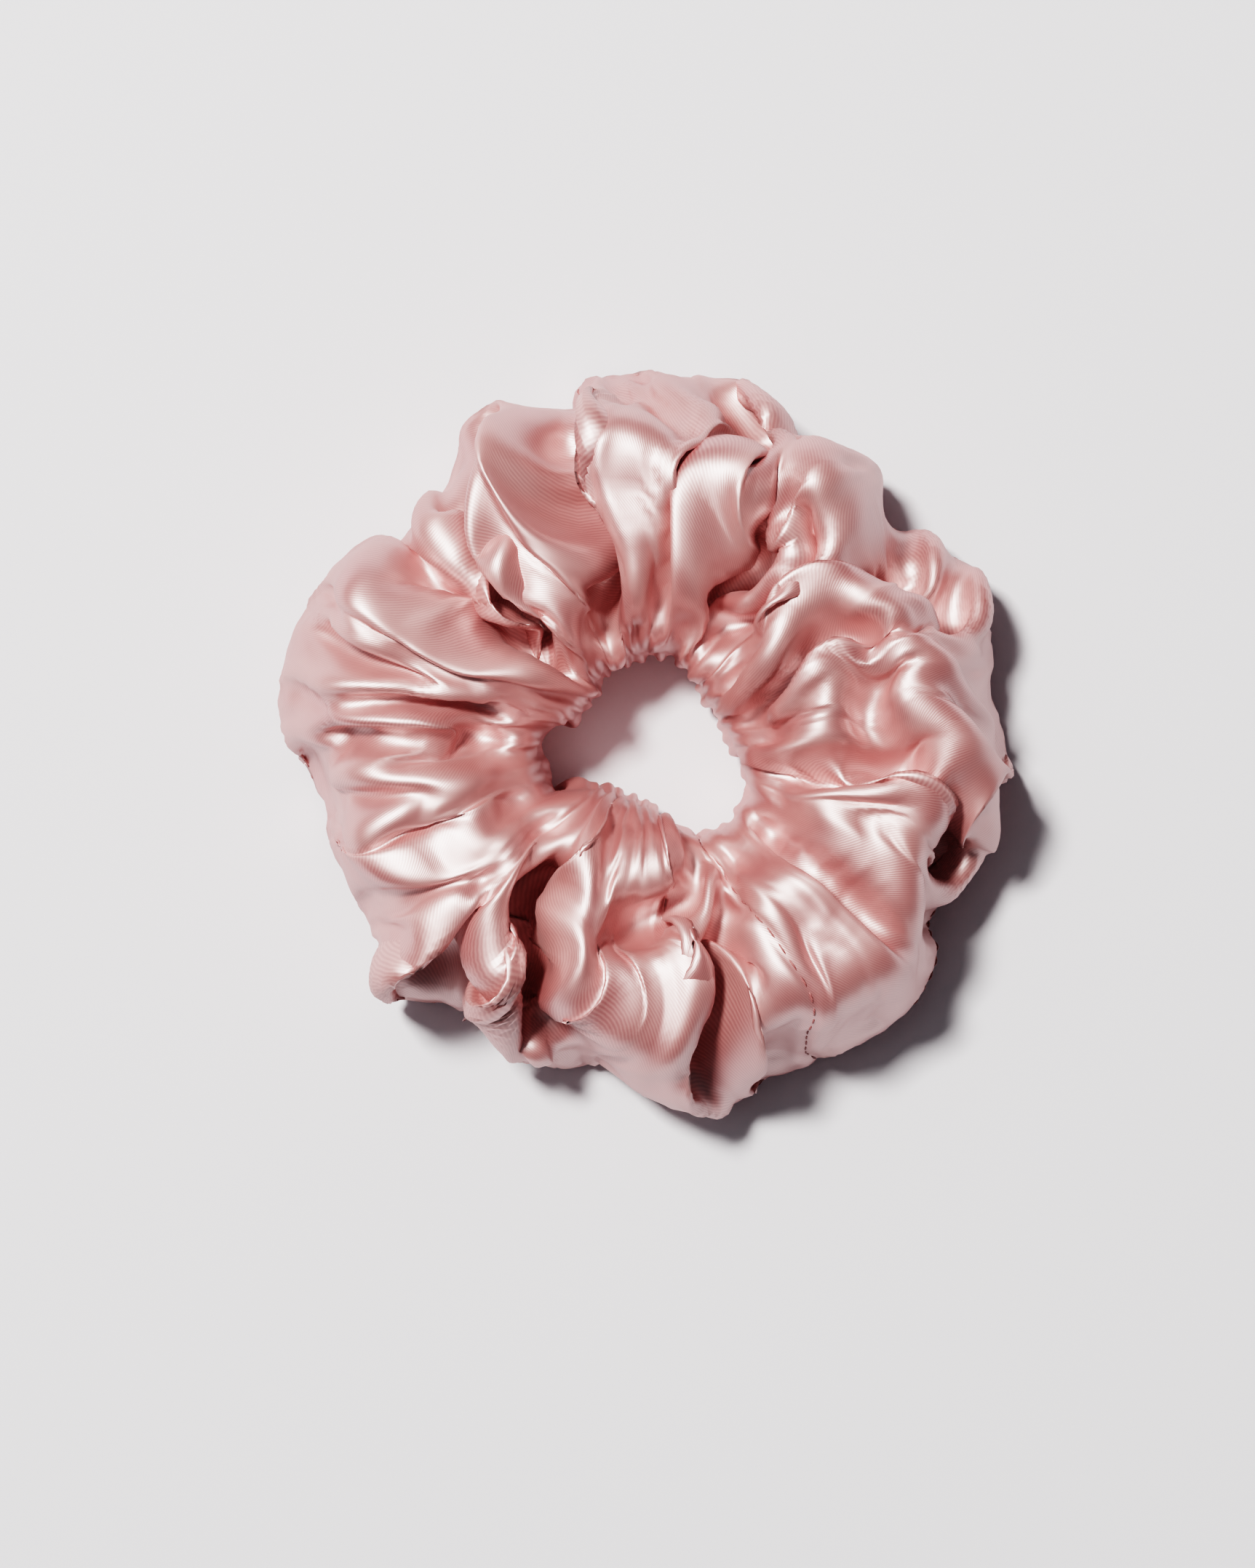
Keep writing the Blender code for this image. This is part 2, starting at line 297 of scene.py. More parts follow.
            (-46.5, -8, 20), (-45.5, -5, 23), (-43.5, -4.3, 26), (-39, -4.3, 29),
            (-33, -4.7, 30), (-27, -3.5, 28), (-22, -1.9, 23),
        ],
        [(-44, -3, 21), (-39.5, -2.7, 23), (-33, -2.8, 24.5), (-26, -2.3, 22)],
        [
            (-49, -5.6, 16), (-46.5, -2.6, 21), (-43, -1.2, 26), (-37, -0.8, 28), (-30, -1, 28),
            (-25, -1.1, 25),
        ],
        [(-47, 0.1, 15), (-43, 0.4, 18), (-37, 0.6, 21), (-30, 0.6, 21), (-24, 0.4, 19)],
        [
            (-55, 3.2, 15), (-53, 2, 18), (-49, 1.8, 22), (-42, 2.1, 27), (-35, 2.5, 29),
            (-29, 2.4, 28), (-22, 2, 23),
        ],
        [
            (-53.5, 6.2, 16), (-48.7, 6, 20), (-42, 5.8, 23), (-35, 5.5, 23.5), (-29, 4.3, 22),
            (-23.5, 3.3, 20),
        ],
        [
            (-55.4, 7.5, 16), (-52.5, 9.2, 21), (-47, 9.5, 27), (-40, 8.8, 29), (-33, 8, 29),
            (-27, 6, 27), (-22.8, 4.4, 23),
        ],
        [(-49, 16.3, 19), (-45.7, 14, 21), (-39.5, 11.1, 23), (-32.5, 9.3, 24.5)],
        [(-52, 14, 22)],
        [
            (-53.3, 18.8, 15), (-51.5, 19.4, 20), (-48.3, 18.2, 25), (-42, 15.4, 29),
            (-36, 12.7, 30), (-30, 10, 29),
        ],
        [(-51.8, -4.5, 8), (-50.5, -9, 8)],
        [(-48, -12, 11), (-48.6, -16, 9)],
    ],
    "diagonal roll": [
        [(-45, 28, 23), (-46.2, 25, 25), (-44.4, 20.8, 29), (-40.7, 17.2, 30.5)],
        [(-48.6, 22.6, 18), (-46.5, 19.2, 22)],
        [(-41.5, 23.6, 26), (-36, 19.3, 27.5), (-29, 13.6, 29), (-24, 9, 28)],
        [
            (-43.8, 30, 23), (-39.5, 27, 30), (-34.5, 23, 33), (-29.5, 18.9, 34),
            (-24, 14.9, 33), (-19, 12, 31), (-15.5, 10.7, 28), (-12.3, 10.9, 24),
        ],
        [(-20.5, 6, 26), (-16, 6, 27), (-12, 7, 23)],
    ],
    "valley above the diagonal roll": [
        [
            (-40.3, 30.4, 15), (-35.8, 26.6, 17), (-31.3, 23, 19), (-26.2, 18.7, 18),
            (-21, 15.4, 16), (-16.5, 13.3, 14), (-13.2, 12.7, 15),
        ],
    ],
    "dimpled puff": [
        [(-35.6, 30.4, 22), (-32.5, 27.5, 25), (-28.5, 24.7, 26)],
        [(-36, 31.6, 20), (-34.2, 33.6, 23), (-31, 33.9, 23)],
        [(-31.3, 31.3, 17), (-28.5, 30, 12), (-25.8, 29.8, 10)],
        [(-29.6, 36, 21), (-27.5, 32.6, 21)],
        [(-33.3, 36.3, 13), (-30, 41, 13), (-29, 45, 12)],
        [(-22.8, 25.3, 25), (-24.8, 22.8, 26), (-25.3, 20.2, 26), (-23.5, 17.4, 24), (-19.5, 15.7, 21)],
        [(-21.6, 20.6, 20)],
        [
            (-26.5, 39, 17), (-24.5, 36, 15), (-24.7, 33, 14), (-23.5, 28, 15),
            (-20.8, 23.5, 17), (-17.8, 19, 16), (-15.1, 15.3, 15),
        ],
    ],
    "almond puff": [
        [
            (-21.5, 52.3, 16), (-20.2, 50, 23), (-20.6, 46.7, 28), (-22, 42, 31),
            (-22.9, 37, 33), (-22.5, 32.3, 34), (-21.1, 28.7, 34), (-18.9, 25, 33),
            (-15.9, 20.8, 31), (-13.1, 16, 28), (-11.4, 13, 24),
        ],
        [(-23.4, 51.3, 17), (-22.8, 48, 21), (-24.4, 44, 22), (-25.5, 41, 22)],
        [(-22, 49.5, 18), (-22, 46.5, 20)],
        [(-25, 50, 9), (-26, 46.8, 9), (-27, 44, 11)],
        [(-29.2, 46.5, 12), (-28.3, 49.4, 14), (-25.5, 51.5, 14)],
        [(-16, 45, 31), (-15, 38, 33.5), (-14.5, 31, 34), (-13.4, 25, 33), (-11.5, 19, 29)],
        [(-17, 50.5, 23), (-14.2, 49.5, 21)],
        [(-14.6, 46, 26), (-12.5, 40, 29), (-10.5, 34, 30), (-9.2, 28, 29), (-9, 22, 26), (-9.4, 17, 22)],
        [(-11.1, 28, 27.5), (-11.9, 23.5, 25.5), (-13.2, 19.8, 25.5)],
    ],
    "valley left of the top puff": [
        [
            (-13.4, 47.5, 9), (-12, 43, 11), (-9.8, 37, 12), (-7.5, 31.5, 13), (-6.2, 27, 13),
            (-5.8, 23, 13), (-7.6, 17.8, 12),
        ],
        [(-4.5, 27, 22), (-4.4, 22, 21), (-5.6, 17.5, 17)],
        [(-2.3, 17, 20)],
    ],
}

# How the folds become a sheet: a round ring of this height, how much deeper the folds are made, how
# far the membranes are worked out, and how the sheet meets the hole, the rim and the underside.
TOP_MM = 34.0
LOWEST_MM = 3.0
DOME_SHARE = 0.75
FOLD_GAIN = 1.5
BASE_SWEEPS = 300
FOLD_STEP_MM = 0.25
# Each fold leans anticlockwise by this share of its rise, and each hollow the other way, so that
# folds overhang. The lean fades out towards the rim and the hole over this width.
LEAN = 0.40
LEAN_FADE_MM = 14.0
PUFF = 0.10
MEMBRANE_SWEEPS = 900
ROUNDING_SWEEPS = 12
REFITS = 3
SMALLEST_HOLE_WALL_MM = 18.0
HOLE_HEIGHT_MM = 15.5
RIM_SHARE = 0.62
EDGE_WIDTH_MM = 2.5
HOLE_EDGE_WIDTH_MM = 3.0
UNDERSIDE_MM = 0.3
UNDER_HOLE_WIDTH_MM = 4.0
UNDER_RIM_WIDTH_MM = 11.0
# Near the elastic the satin has to pass over it.
OVER_ELASTIC_MM = 20.2
ELASTIC_REACH_MM = 7.0

# How the cloth is relaxed: the length it has to spare, how firmly it is held to its start shape and
# how far down round the tube, the gap between two layers, its bending as (how many grid steps apart,
# stiffness), its resistance to shear and stretch, how freely it moves, and how often and how widely
# it is searched for layers that touch.
SPARE_ALONG = 0.035
SPARE_ROUND = 0.02
HOLD = 0.08
HELD_ABOVE = -0.3
CONTACT_MM = 0.9
RELAX_STEPS = 100
BENDING = [(2, 0.30), (4, 0.22), (8, 0.07)]
SHEAR = 0.12
TENSION = 0.9
DAMPING = 0.9
FASTEST_SHARE = 0.2
FLOOR_SLIP = 0.3
STEPS_PER_SEARCH = 10
SEARCH_SHARE = 1.5
OVERSHOOT = 1.2
SMOOTHING_ROUNDS = 3
SMOOTHING = 0.5
SWELL_BACK = 1.04
AIR = 0.05e-5
WEIGHT = 0.3e-5
ON_FLOOR = 0.00025
ELASTIC_CLEARANCE = 0.0012
ELASTIC_RADIUS_MM = 20.25

# The seams: how deep their grooves are and how many grid steps they reach, and how often the long
# seam puckers the satin.
LONG_SEAM_GROOVE_MM = 0.8
LONG_SEAM_ROWS = 1.1
CROSS_SEAM_GROOVE_MM = 0.7
CROSS_SEAM_COLUMNS = 1.0
PUCKERS = 90
PUCKER_MM = 0.12
PUCKER_ROWS = 3.5
CROSS_SEAM_DEGREES = -60.0
CLOSING_DEGREES = (-44.0, -22.0)
CLOSING_ROW = 2


def rounded(points, rounds=2):
    """The same line with its corners cut, as an array of points."""
    line = np.array(points, float)
    for _ in range(rounds):
        if len(line) < 3:
            return line
        quarter = line[:-1] * 0.75 + line[1:] * 0.25
        three_quarters = line[:-1] * 0.25 + line[1:] * 0.75
        cut = np.stack([quarter, three_quarters], 1).reshape(-1, line.shape[1])
        line = np.concatenate([line[:1], cut[1:-1], line[-1:]])
    return line


def evenly(line, count):
    """count points spaced evenly along the line."""
    walked = np.concatenate([[0], np.cumsum(np.linalg.norm(np.diff(line, axis=0), axis=1))])
    stops = np.linspace(0, walked[-1], count)
    return np.stack([np.interp(stops, walked, line[:, k]) for k in range(line.shape[1])], 1)


def dense(fold):
    """Points along the rounded fold, FOLD_STEP_MM apart."""
    line = rounded(fold)
    length = np.linalg.norm(np.diff(line, axis=0), axis=1).sum()
    return evenly(line, int(length / FOLD_STEP_MM) + 2) if len(line) > 1 else line


def radius_at(outline, angles):
    """The closed outline's distance from the middle at each angle, in millimetres."""
    line = rounded(outline + outline[:3])[2:-2]
    at = np.arctan2(line[:, 1], line[:, 0])
    return np.interp(angles, at, np.hypot(line[:, 0], line[:, 1]), period=2 * pi)


def sweep(height, across, outward, puff=0.0):
    """One step towards a membrane: each height becomes the weighted mean of its four neighbours."""
    padded = np.concatenate([height[:, :1], height, height[:, -1:]], 1)
    spread = across * (np.roll(height, 1, 0) + np.roll(height, -1, 0))
    spread += outward * (padded[:, :-2] + padded[:, 2:])
    return (spread + puff) / (2 * (across + outward))


def swept(height, across, outward, times):
    """This many steps towards a membrane, with no height held."""
    for _ in range(times):
        height = sweep(height, across, outward)
    return height


def membrane(known, fixed, across, outward, puff=0.0):
    """A membrane stretched between the fixed heights, swollen a little by puff."""
    height = np.where(fixed, known, known[fixed].mean())
    for _ in range(MEMBRANE_SWEEPS):
        height = np.where(fixed, known, sweep(height, across, outward, puff))
    return height


def fold_heights(inner, outer):
    """The folds' heights on the grid (columns, bands from the hole to the rim), and where they are."""
    total = np.zeros((COLUMNS, BANDS))
    hits = np.zeros((COLUMNS, BANDS))
    for folds in FOLDS.values():
        for fold in folds:
            line = dense(fold)
            turn = np.arctan2(line[:, 1], line[:, 0]) / (2 * pi)
            column = np.round(turn * COLUMNS).astype(int) % COLUMNS
            out = np.hypot(line[:, 0], line[:, 1]) - inner[column]
            share = out / (outer[column] - inner[column])
            band = np.clip(np.round(share * (BANDS - 1)), 0, BANDS - 1).astype(int)
            np.add.at(total, (column, band), line[:, 2])
            np.add.at(hits, (column, band), 1)
    return total / np.maximum(hits, 1), hits > 0


def top_heights(angles, inner, outer):
    """The satin's heights and its lean on the grid (columns, bands from the hole to the rim).

    A taut membrane makes the valleys, which are sharp. A smooth field through the same folds makes
    the crests, which are round. The satin is the higher of the two.
    """
    known, fixed = fold_heights(inner, outer)
    step = (outer - inner)[:, None] / (BANDS - 1)
    radius = inner[:, None] + step * np.arange(BANDS)
    across = 1 / (radius * (angles[1] - angles[0])) ** 2
    outward = 1 / step**2 + 0 * radius
    taut = membrane(known, fixed, across, outward, PUFF)
    smooth_field = swept(taut, across, outward, ROUNDING_SWEEPS)
    for _ in range(REFITS):
        missing = membrane(known - smooth_field, fixed, across, outward)
        smooth_field = smooth_field + swept(missing, across, outward, ROUNDING_SWEEPS)
    height = swept(np.maximum(taut, smooth_field), across, outward, 1)
    base = swept(height, across, outward, BASE_SWEEPS)
    middle, half = (inner + outer)[:, None] / 2, (outer - inner)[:, None] / 2
    dome = TOP_MM / 2 * (1 + np.sqrt(np.clip(1 - ((radius - middle) / half) ** 2, 0, 1)))
    rise = FOLD_GAIN * (height - base)
    height = DOME_SHARE * dome + (1 - DOME_SHARE) * base + rise
    height = TOP_MM - np.logaddexp(0, TOP_MM - height)
    height = np.maximum(height, LOWEST_MM)
    near_elastic = np.exp(-(((radius - ELASTIC_RADIUS_MM) / ELASTIC_REACH_MM) ** 2))
    lifted = np.logaddexp(height, OVER_ELASTIC_MM)
    return height + (lifted - height) * near_elastic, LEAN * rise * (1 - near_elastic)


def edge_share(distance, width):
    """0 at an edge and 1 from width on, as a quarter circle."""
    return np.sqrt(1 - (1 - np.clip(distance / width, 0, 1)) ** 2)


def start_tube():
    """The start shape (3, columns, rows), from the rim over the top to the hole and back under."""
    angles = np.arange(COLUMNS) * 2 * pi / COLUMNS
    inner = np.minimum(radius_at(HOLE, angles), SMALLEST_HOLE_WALL_MM)
    outer = radius_at(RIM, angles)
    height, lean = top_heights(angles, inner, outer)
    radius = inner[:, None] + (outer - inner)[:, None] * np.linspace(0, 1, BANDS)
    from_hole, from_rim = radius - inner[:, None], outer[:, None] - radius
    rim = height[:, -1:] * RIM_SHARE
    top = HOLE_HEIGHT_MM + (height - HOLE_HEIGHT_MM) * edge_share(from_hole, HOLE_EDGE_WIDTH_MM)
    top = rim + (top - rim) * edge_share(from_rim, EDGE_WIDTH_MM)
    lean = lean * edge_share(from_rim, LEAN_FADE_MM) * edge_share(from_hole, LEAN_FADE_MM)
    under = UNDERSIDE_MM + (rim - UNDERSIDE_MM) * (1 - edge_share(from_rim, UNDER_RIM_WIDTH_MM))
    at_hole = 1 - edge_share(from_hole, UNDER_HOLE_WIDTH_MM)
    under = under + (HOLE_HEIGHT_MM - UNDERSIDE_MM) * at_hole
    sections = np.empty((3, COLUMNS, ROWS), np.float32)
    for column, angle in enumerate(angles):
        over = np.stack([radius[column], top[column], lean[column]], 1)[::-1]
        back = np.stack([radius[column], under[column], 0 * radius[column]], 1)
        loop = np.concatenate([evenly(over, BANDS)[:-1], evenly(back, BANDS)[:-1]])
        turned = angle + loop[:, 2] / loop[:, 0]
        sections[0, column] = loop[:, 0] * np.cos(turned)
        sections[1, column] = loop[:, 0] * np.sin(turned)
        sections[2, column] = loop[:, 1]
    return sections * np.float32(MM)


def pull(a, b, rest, stiffness):
    """Moves each pair of points towards its rest distance, half each."""
    gap = b - a
    length = np.sqrt((gap * gap).sum(0)) + 1e-9
    gap *= stiffness * 0.5 * (1 - rest / length)
    a += gap
    b -= gap


def pull_along_columns(x, rest, stiffness):
    """Pulls neighbours along the ring: even pairs, then odd pairs, then the pair that closes it."""
    pull(x[:, 0::2], x[:, 1::2], rest[0::2], stiffness)
    pull(x[:, 1:-1:2], x[:, 2::2], rest[1:-1:2], stiffness)
    pull(x[:, -1:], x[:, :1], rest[-1:], stiffness)


def pull_along_rows(x, rest, stiffness):
    """The same round the tube."""
    pull(x[:, :, 0::2], x[:, :, 1::2], rest[:, 0::2], stiffness)
    pull(x[:, :, 1:-1:2], x[:, :, 2::2], rest[:, 1:-1:2], stiffness)
    pull(x[:, :, -1:], x[:, :, :1], rest[:, -1:], stiffness)


def pull_far(x, shift, rest, stiffness):
    """The same for every pair this shift (columns, rows) apart, all at once, so gently."""
    far = np.roll(x, (-shift[0], -shift[1]), (1, 2))
    gap = far - x
    length = np.sqrt((gap * gap).sum(0)) + 1e-9
    gap *= stiffness * 0.5 * (1 - rest / length)
    x += gap
    x -= np.roll(gap, shift, (1, 2))


def normals(x):
    """Outward unit normals of the tube, (3, columns, rows)."""
    along_ring = np.roll(x, -1, 1) - np.roll(x, 1, 1)
    round_tube = np.roll(x, -1, 2) - np.roll(x, 1, 2)
    n = np.cross(along_ring, round_tube, axis=0)
    n /= np.sqrt((n * n).sum(0)) + 1e-12
    return n


def neighbours():
    """A cell's own offset and half of those round it, so that each pair of cells comes once."""
    steps = [(dx, dy, dz) for dx in (-1, 0, 1) for dy in (-1, 0, 1) for dz in (-1, 0, 1)]
    return [step for step in steps if step >= (0, 0, 0)]


def close_pairs(x, distance, skip):
    """Pairs of points nearer than distance that aren't within skip grid steps of each other."""
    _, columns, rows = x.shape
    points = x.reshape(3, -1)
    cell = np.floor((points - points.min(1)[:, None]) / distance).astype(np.int64) + 1
    wide = cell.max() + 2
    key = (cell[0] * wide + cell[1]) * wide + cell[2]
    order = np.argsort(key, kind="stable")
    ordered = key[order]
    column, row = order // rows, order % rows
    position = points[:, order]
    first_all, second_all = [], []
    for dx, dy, dz in neighbours():
        wanted = ordered + (dx * wide + dy) * wide + dz
        start = np.searchsorted(ordered, wanted, "left")
        if (dx, dy, dz) == (0, 0, 0):
            start = np.arange(len(ordered)) + 1
        count = np.maximum(np.searchsorted(ordered, wanted, "right") - start, 0)
        first = np.repeat(np.arange(len(ordered)), count)
        offset = np.arange(len(first)) - np.repeat(np.cumsum(count) - count, count)
        second = np.repeat(start, count) + offset
        apart = np.abs(column[first] - column[second])
        apart = np.minimum(apart, columns - apart)
        across = np.abs(row[first] - row[second])
        across = np.minimum(across, rows - across)
        gap = position[:, first] - position[:, second]
        keep = ((gap * gap).sum(0) < distance**2) & (np.maximum(apart, across) > skip)
        first_all.append(order[first[keep]])
        second_all.append(order[second[keep]])
    return np.concatenate(first_all), np.concatenate(second_all)


def push_apart(x, pairs, distance):
    """Moves close pairs until they are distance apart, each point by its mean correction."""
    first, second = pairs
    flat = x.reshape(3, -1)
    gap = flat[:, first] - flat[:, second]
    length = np.sqrt((gap * gap).sum(0)) + 1e-9
    near = length < distance
    first, second, gap, length = first[near], second[near], gap[:, near], length[near]
    push = gap * (0.5 * (distance / length - 1))
    total = flat.shape[1]
    count = np.bincount(first, minlength=total) + np.bincount(second, minlength=total)
    count = np.maximum(count, 1)
    for k in range(3):
        moved = np.bincount(first, push[k], total) - np.bincount(second, push[k], total)
        flat[k] += (moved / count * OVERSHOOT).astype(np.float32)


def clear_elastic(x, elastic):
    """Keeps the cloth outside an upright capsule shape round the elastic's section."""
    radius = np.sqrt(x[0] ** 2 + x[1] ** 2) + 1e-9
    out = radius - elastic["radius"]
    up = x[2] - np.clip(x[2], elastic["low"], elastic["high"])
    away = np.sqrt(out**2 + up**2) + 1e-9
    push = np.clip(ELASTIC_CLEARANCE / away - 1, 0, 1)
    x[0] += x[0] / radius * out * push
    x[1] += x[1] / radius * out * push
    x[2] += up * push


def blurred(values, rounds=12):
    """Evened out over the grid, which closes on itself both ways."""
    for _ in range(rounds):
        for axis in (0, 1):
            values = (np.roll(values, 1, axis) + values * 2 + np.roll(values, -1, axis)) / 4
    return values


def relax(x, elastic):
    """Relaxes the cloth about its start shape. The underside isn't held."""
    turn = 2 * pi * np.arange(ROWS, dtype=np.float32) / ROWS
    away_from_hole = 1 - np.clip(-np.cos(turn), 0, 1)
    column_rest = blurred(np.linalg.norm(np.roll(x, -1, 1) - x, axis=0))
    column_rest *= 1 + SPARE_ALONG * away_from_hole
    row_rest = blurred(np.linalg.norm(np.roll(x, -1, 2) - x, axis=0)) * np.float32(1 + SPARE_ROUND)
    diagonal = np.sqrt(column_rest**2 + row_rest**2)
    hold = HOLD * (np.sin(turn) > HELD_ABOVE)[None, None, :].astype(np.float32)
    contact = CONTACT_MM * MM
    fastest = contact * FASTEST_SHARE
    start = x.copy()
    speed = np.zeros_like(x)
    for step in range(RELAX_STEPS):
        speed *= DAMPING
        speed[2] -= WEIGHT
        speed += normals(x) * AIR
        np.clip(speed, -fastest, fastest, out=speed)
        before = x.copy()
        x += speed
        x += (start - x) * hold
        pull_far(x, (1, 1), diagonal, SHEAR)
        pull_far(x, (1, -1), diagonal, SHEAR)
        for reach, stiffness in BENDING:
            pull_far(x, (reach, 0), column_rest * reach, stiffness)
            pull_far(x, (0, reach), row_rest * reach, stiffness)
        for _ in range(3):
            pull_along_columns(x, column_rest, TENSION)
            pull_along_rows(x, row_rest, TENSION)
        if step % STEPS_PER_SEARCH == 0:
            pairs = close_pairs(x, contact * SEARCH_SHARE, 2)
        push_apart(x, pairs, contact)
        clear_elastic(x, elastic)
        rests = x[2] < ON_FLOOR
        x[2] = np.maximum(x[2], ON_FLOOR)
        speed = x - before
        speed[:2] *= np.where(rests, FLOOR_SLIP, 1)
    return x


def smooth(x):
    """Evens out the cloth without shrinking it: each round smooths, then swells back."""
    for _ in range(SMOOTHING_ROUNDS):
        for amount in (SMOOTHING, -SMOOTHING * SWELL_BACK):
            mean = sum(np.roll(x, shift, axis) for shift in (1, -1) for axis in (1, 2)) / 4
            x = x + (mean - x) * amount
    return x


def column_at(degrees):
    """The column nearest to this angle round the ring."""
    return round(degrees / 360 * COLUMNS) % COLUMNS


def sew(x):
    """Draws the seams in: a groove along each, and puckers along the long one."""
    outward = normals(x)
    column = np.arange(COLUMNS)
    row = np.arange(ROWS)
    from_long = np.minimum(row, ROWS - row)
    from_cross = np.abs(column - column_at(CROSS_SEAM_DEGREES))
    groove = LONG_SEAM_GROOVE_MM * np.exp(-((from_long / LONG_SEAM_ROWS) ** 2))[None, :]
    groove = groove + CROSS_SEAM_GROOVE_MM * np.exp(-((from_cross / CROSS_SEAM_COLUMNS) ** 2))[:, None]
    ripple = np.cos(2 * pi * PUCKERS * column / COLUMNS)[:, None]
    ripple = ripple * np.exp(-((from_long / PUCKER_ROWS) ** 2))[None, :]
    depth = (groove + PUCKER_MM * ripple) * MM
    x = x - outward * depth.astype(np.float32)
    x[2] = np.maximum(x[2], ON_FLOOR)
    return x


def make_cloth(elastic):
    """The finished satin as a grid of points, clear of the elastic and of the surface below."""
    x = smooth(relax(start_tube(), elastic))
    x = sew(x)
    clear_elastic(x, elastic)
    return x


def smooth_mesh(name, vertices, faces):
    """A smooth-shaded mesh of these vertices and faces."""
    mesh = bpy.data.meshes.new(name)
    mesh.from_pydata(vertices, [], faces)
    mesh.shade_smooth()
    mesh.update()
    return mesh


def grid_mesh(name, x):
    """A closed tube mesh of this grid of points. Its UV runs 0 to 1 round the ring and the tube."""
    _, columns, rows = x.shape
    i, j = np.meshgrid(np.arange(columns), np.arange(rows), indexing="ij")
    after, above = (i + 1) % columns, (j + 1) % rows
    faces = np.stack([i * rows + j, after * rows + j, after * rows + above, i * rows + above], -1)
    mesh = smooth_mesh(name, x.reshape(3, -1).T.tolist(), faces.reshape(-1, 4).tolist())
    along = np.stack([i, i + 1, i + 1, i], -1) / columns
    across = np.stack([j, j, j + 1, j + 1], -1) / rows
    layer = mesh.uv_layers.new(name="panel")
    layer.data.foreach_set("uv", np.stack([along, across], -1).astype(np.float32).ravel())
    return mesh


# Thread: its radius, how many sides its tube has, and a stitch's length, pitch and points along it.
THREAD_RADIUS = 0.00015
THREAD_SIDES = 6
STITCH_POINTS = 6
SEAM_STITCH = (0.0021, 0.0029)
TOP_STITCH = (0.0017, 0.0024)
ZIGZAG_TURNS = 7
ZIGZAG_POINTS_PER_TURN = 8
ZIGZAG_LENGTH_SHARE = 0.8
ZIGZAG_REACH_SHARE = 0.35


def thread_tube(points, up):
    """Vertices and faces of one tube of thread along these points, closed at both ends."""
    ahead = np.gradient(points, axis=0)
    ahead /= np.linalg.norm(ahead, axis=1)[:, None]
    aside = np.cross(ahead, up)
    aside /= np.linalg.norm(aside, axis=1)[:, None]
    up = np.cross(aside, ahead)
    vertices, faces = [], []
    for k, point in enumerate(points):
        for side in range(THREAD_SIDES):
            a = 2 * pi * side / THREAD_SIDES
            vertices.append(point + THREAD_RADIUS * (cos(a) * up[k] + sin(a) * aside[k]))
    for k in range(len(points) - 1):
        for side in range(THREAD_SIDES):
            after = (side + 1) % THREAD_SIDES
            low, high = k * THREAD_SIDES, (k + 1) * THREAD_SIDES
            faces.append((low + side, low + after, high + after, high + side))
    faces.append(tuple(range(THREAD_SIDES))[::-1])
    last = (len(points) - 1) * THREAD_SIDES
    faces.append(tuple(last + side for side in range(THREAD_SIDES)))
    return vertices, faces


def thread_mesh(name, tubes):
    """One mesh of all these tubes of thread."""
    vertices, faces = [], []
    for tube_vertices, tube_faces in tubes:
        start = len(vertices)
        vertices += [tuple(v) for v in tube_vertices]
        faces += [tuple(index + start for index in face) for face in tube_faces]
    return smooth_mesh(name, vertices, faces)


def stitches(path, outward, size):
    """Tubes of thread along the path, each a stitch that dives into the cloth at both ends."""
    length, pitch = size
    walked = np.concatenate([[0], np.cumsum(np.linalg.norm(np.diff(path, axis=0), axis=1))])
    count = int(walked[-1] / pitch)
    tubes = []
    for k in range(count):
        stops = k * walked[-1] / count + np.linspace(0, length, STITCH_POINTS)
        points = np.stack([np.interp(stops, walked, path[:, axis]) for axis in range(3)], 1)
        up = np.stack([np.interp(stops, walked, outward[:, axis]) for axis in range(3)], 1)
        up /= np.linalg.norm(up, axis=1)[:, None]
        rise = np.sin(np.linspace(0, pi, STITCH_POINTS))[:, None] * 2.0 - 1.0
        tubes.append(thread_tube(points + up * rise * THREAD_RADIUS, up))
    return tubes


def along_row(x, row, first=0, last=COLUMNS):
    """The cloth's points and outward normals along one row, between two columns."""
    outward = normals(x)
    columns = np.arange(first, last + 1) % COLUMNS
    return x[:, columns, row].T.astype(float), outward[:, columns, row].T.astype(float)


def along_column(x, column):
    """The same along one column, all the way round the tube."""
    outward = normals(x)
    rows = np.arange(ROWS + 1) % ROWS
    return x[:, column, rows].T.astype(float), outward[:, column, rows].T.astype(float)


# The elastic, as CAD has it: a strip on edge whose ends lap, and the zigzag stitches through the lap.
ELASTIC_START_DEGREES = 195.0
ELASTIC_LAP_DEGREES = 30.0
ELASTIC_RAMP_DEGREES = 20.0
ELASTIC_THICKNESS = 0.0009
LAP_GAP = 0.0001
ELASTIC_STEPS = 260
ELASTIC_RIBS = 6
RIB_STEPS = 30
RIB_DEPTH_SHARE = 0.3


def elastic_lift(turned):
    """How far the strip stands out from its ring: its last end laps outside its first."""
    share = np.clip((turned - 360 + ELASTIC_RAMP_DEGREES) / ELASTIC_RAMP_DEGREES, 0, 1)
    return share * share * (3 - 2 * share) * (ELASTIC_THICKNESS + LAP_GAP)


